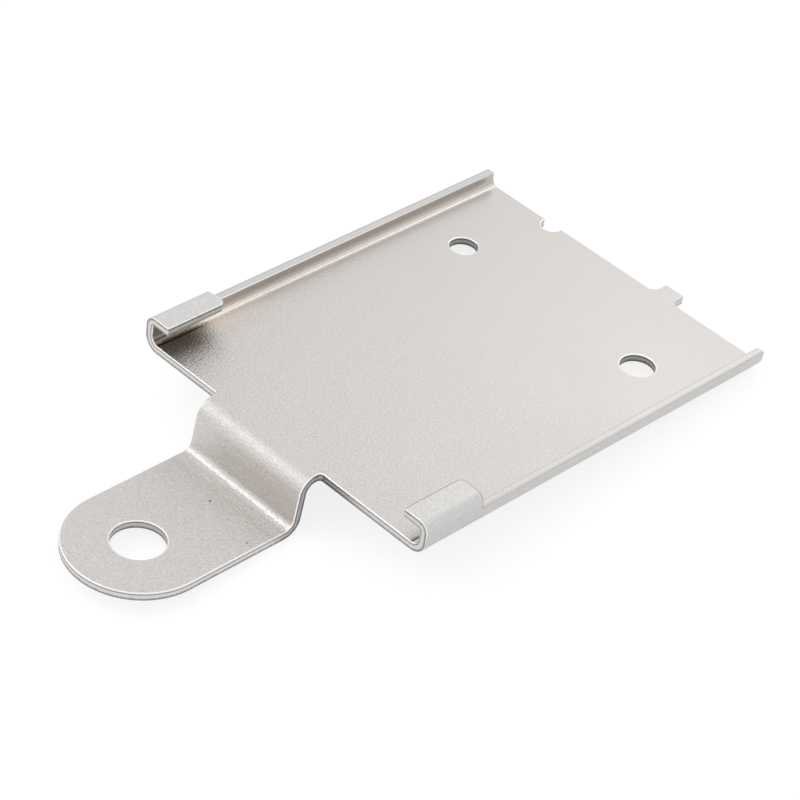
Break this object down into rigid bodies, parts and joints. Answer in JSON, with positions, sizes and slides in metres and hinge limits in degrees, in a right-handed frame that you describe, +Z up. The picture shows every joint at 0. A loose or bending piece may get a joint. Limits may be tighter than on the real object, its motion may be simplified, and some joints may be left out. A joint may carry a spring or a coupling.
{
  "type": "mounting plate",
  "caption": "Folded sheet steel mounting plate with low side flanges, inward lips at the front corners and a stepped tongue that ends in a round eye.",
  "frame": {"origin": "middle of the flat plate on its underside", "axes": "+X to the right seen from the tongue, +Y from the tongue towards the back edge, +Z up out of the face that the flanges and lips stand on"},
  "size_m": [0.065, 0.1215, 0.0155],
  "materials": {
    "plated_steel": "satin"
  },
  "bodies": {
    "root": {"mounting_plate": "plated_steel"}
  },
  "joints": []
}
